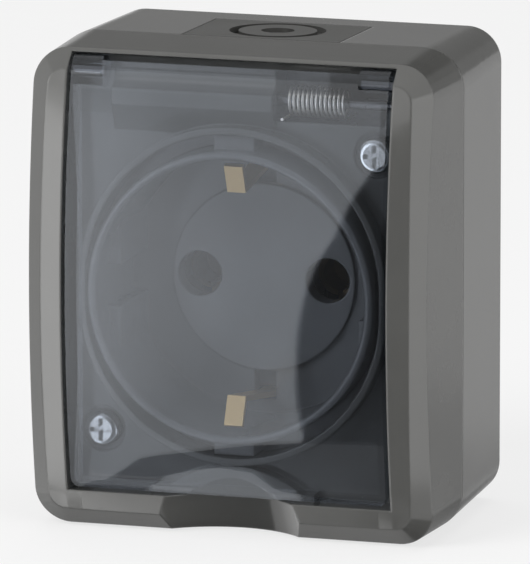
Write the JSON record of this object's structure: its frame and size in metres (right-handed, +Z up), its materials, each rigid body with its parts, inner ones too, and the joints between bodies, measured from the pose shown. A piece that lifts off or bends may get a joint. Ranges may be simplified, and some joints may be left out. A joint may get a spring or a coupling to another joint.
{
  "type": "outdoor weatherproof socket",
  "caption": "Surface-mounted weatherproof earthed wall socket in dark grey plastic with a sprung see-through smoked lid, round plug well and cable entry plate.",
  "frame": {"origin": "centre of the plug well's axis on the wall face", "axes": "+X to the right, +Z up, front towards -Y, +Y into the wall"},
  "size_m": [0.06, 0.0403, 0.0694],
  "materials": {
    "housing_grey": "smooth glossy",
    "insert_grey": "satin",
    "smoked_lid": "polished smoked polycarbonate",
    "seal_rubber": "matt",
    "contact_brass": "bright",
    "zinc_steel": "bright zinc"
  },
  "bodies": {
    "housing": {"rear_box": "housing_grey", "cable_entry_plate": "housing_grey", "housing_gasket": "seal_rubber", "front_housing": "housing_grey", "socket_well": "insert_grey", "insert_seal": "seal_rubber", "contact_base": "insert_grey", "line_contact": "contact_brass", "neutral_contact": "contact_brass", "earth_strap": "contact_brass", "line_terminal_screw": "zinc_steel", "neutral_terminal_screw": "zinc_steel", "upper_insert_screw": "zinc_steel", "lower_insert_screw": "zinc_steel", "upper_housing_screw": "zinc_steel", "lower_housing_screw": "zinc_steel", "upper_screw_seal": "seal_rubber", "lower_screw_seal": "seal_rubber", "left_hinge_pin": "zinc_steel", "right_hinge_pin": "zinc_steel", "spring_arbor": "zinc_steel", "lid_spring": "zinc_steel"},
    "lid": {"lid": "smoked_lid"}
  },
  "joints": [
    {"name": "lid_hinge", "type": "hinge", "parent": "housing", "child": "lid", "pos_m": [0, -0.0349, 0.0312], "axis": [-1, 0, 0], "range_deg": [0, 90], "stiffness_Nm_per_rad": 0.004, "springref_deg": -34.38}
  ]
}
